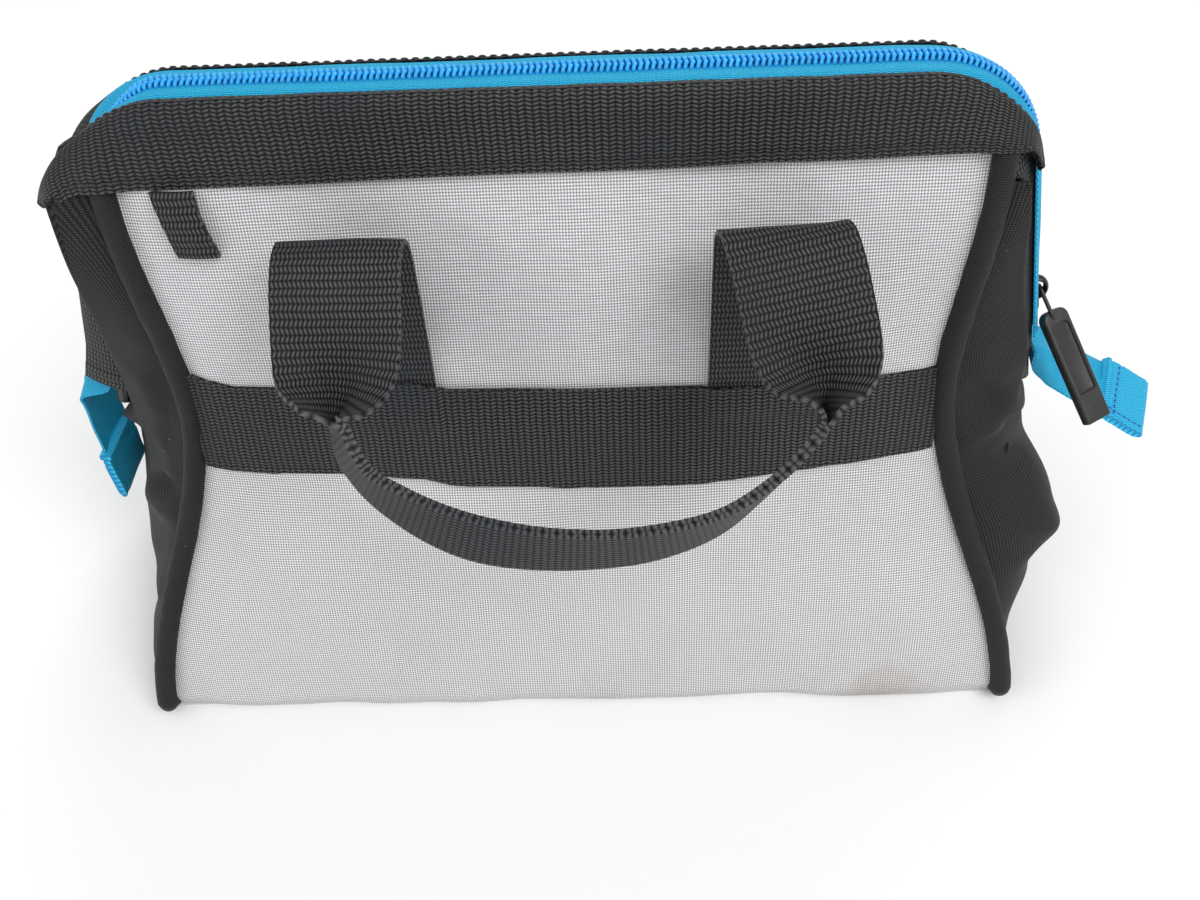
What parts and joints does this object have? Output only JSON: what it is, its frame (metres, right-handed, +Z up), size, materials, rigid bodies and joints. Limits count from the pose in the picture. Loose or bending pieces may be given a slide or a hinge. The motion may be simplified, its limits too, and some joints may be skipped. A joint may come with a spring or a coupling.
{
  "type": "zippered tool bag",
  "caption": "Soft tool bag with a flat stiffened base, sloping grey panels, black webbing trim, twin handles and a framed mouth closed by a blue zipper",
  "frame": {"origin": "centre of the underside of the base panel, on the ground", "axes": "+Z up; +X along the mouth towards the slider's end; -Y is the front with the hang loop"},
  "size_m": [0.4305, 0.233, 0.2363],
  "materials": {
    "grey_fabric": "plain-weave polyester, light silver grey",
    "black_fabric": "black polyester with a twill look",
    "piping_fabric": "black bias-cut fabric over a cord",
    "webbing": "black ribbed polypropylene webbing",
    "lining_fabric": "black coated lining",
    "zipper_tape": "bright blue herringbone zipper tape",
    "zipper_teeth": "bright blue coil",
    "tab_webbing": "bright blue folded webbing",
    "slider_metal": "black enamel",
    "pull_plastic": "black moulded plastic",
    "cap_plastic": "black cap",
    "frame_steel": "bare drawn wire",
    "board": "stiff black sheet"
  },
  "bodies": {
    "base": {"base_panel": "black_fabric", "base_board": "board", "left_lining": "lining_fabric", "right_lining": "lining_fabric"},
    "zipper_ends": {"left_zipper_tail": "zipper_tape", "right_zipper_tail": "zipper_tape", "left_end_tab": "tab_webbing", "right_end_tab": "tab_webbing"},
    "slider_body": {"slider": "slider_metal"},
    "pull_body": {"pull_link": "slider_metal", "zipper_pull": "pull_plastic"},
    "front_side": {"front_panel": "grey_fabric", "front_stripe": "webbing", "front_band": "webbing", "front_left_piping": "piping_fabric", "front_right_piping": "piping_fabric", "front_left_handle_leg": "webbing", "front_right_handle_leg": "webbing", "front_left_gusset": "black_fabric", "front_right_gusset": "black_fabric", "hang_loop": "webbing"},
    "front_frame": {"front_frame_wire": "frame_steel", "front_left_sleeve": "webbing", "front_right_sleeve": "webbing", "front_left_wire_cap": "cap_plastic", "front_right_wire_cap": "cap_plastic", "front_zipper_tape": "zipper_tape", "front_zipper_teeth": "zipper_teeth"},
    "front_handle": {"front_handle_grip": "webbing"},
    "rear_side": {"rear_panel": "grey_fabric", "rear_stripe": "webbing", "rear_band": "webbing", "rear_left_piping": "piping_fabric", "rear_right_piping": "piping_fabric", "rear_left_handle_leg": "webbing", "rear_right_handle_leg": "webbing", "rear_left_gusset": "black_fabric", "rear_right_gusset": "black_fabric"},
    "rear_frame": {"rear_frame_wire": "frame_steel", "rear_left_sleeve": "webbing", "rear_right_sleeve": "webbing", "rear_left_wire_cap": "cap_plastic", "rear_right_wire_cap": "cap_plastic", "rear_zipper_tape": "zipper_tape", "rear_zipper_teeth": "zipper_teeth"},
    "rear_handle": {"rear_handle_grip": "webbing"}
  },
  "joints": [
    {"name": "front_side_hinge", "type": "hinge", "parent": "base", "child": "front_side", "pos_m": [0, -0.085, 0], "axis": [1, 0, 0], "range_deg": [0, 18]},
    {"name": "front_frame_hinge", "type": "hinge", "parent": "front_side", "child": "front_frame", "pos_m": [0, -0.0094, 0.2275], "axis": [1, 0, 0], "range_deg": [0, 24.5], "deforming": ["front_left_gusset", "front_right_gusset"]},
    {"name": "front_handle_hinge", "type": "hinge", "parent": "front_side", "child": "front_handle", "pos_m": [0, -0.0392, 0.19427], "axis": [-1, 0, 0], "range_deg": [0, 115]},
    {"name": "rear_side_hinge", "type": "hinge", "parent": "base", "child": "rear_side", "pos_m": [0, 0.085, 0], "axis": [-1, 0, 0], "range_deg": [0, 18]},
    {"name": "rear_frame_hinge", "type": "hinge", "parent": "rear_side", "child": "rear_frame", "pos_m": [0, 0.0094, 0.2275], "axis": [-1, 0, 0], "range_deg": [0, 24.5], "deforming": ["rear_left_gusset", "rear_right_gusset"]},
    {"name": "rear_handle_hinge", "type": "hinge", "parent": "rear_side", "child": "rear_handle", "pos_m": [0, 0.0392, 0.19427], "axis": [1, 0, 0], "range_deg": [0, 115]},
    {"name": "zipper_ends_rise", "type": "slide", "parent": "base", "child": "zipper_ends", "axis": [0, 0, 1], "range_m": [0, 0.041]},
    {"name": "slider_travel", "type": "slide", "parent": "front_frame", "child": "slider_body", "axis": [-0.2419, 0, 0.9703], "range_m": [0, 0.05]},
    {"name": "pull_swing", "type": "hinge", "parent": "slider_body", "child": "pull_body", "pos_m": [0.17302, 0, 0.14712], "axis": [-0.2614, -0.766, 0.5872], "range_deg": [0, 120]}
  ],
  "couplings": [
    {"joint": "front_frame_hinge", "follows": "front_side_hinge", "ratio": 1.36},
    {"joint": "rear_side_hinge", "follows": "front_side_hinge", "ratio": 1},
    {"joint": "rear_frame_hinge", "follows": "front_side_hinge", "ratio": 1.36},
    {"joint": "zipper_ends_rise", "follows": "front_side_hinge", "m_per_rad": 0.13}
  ]
}
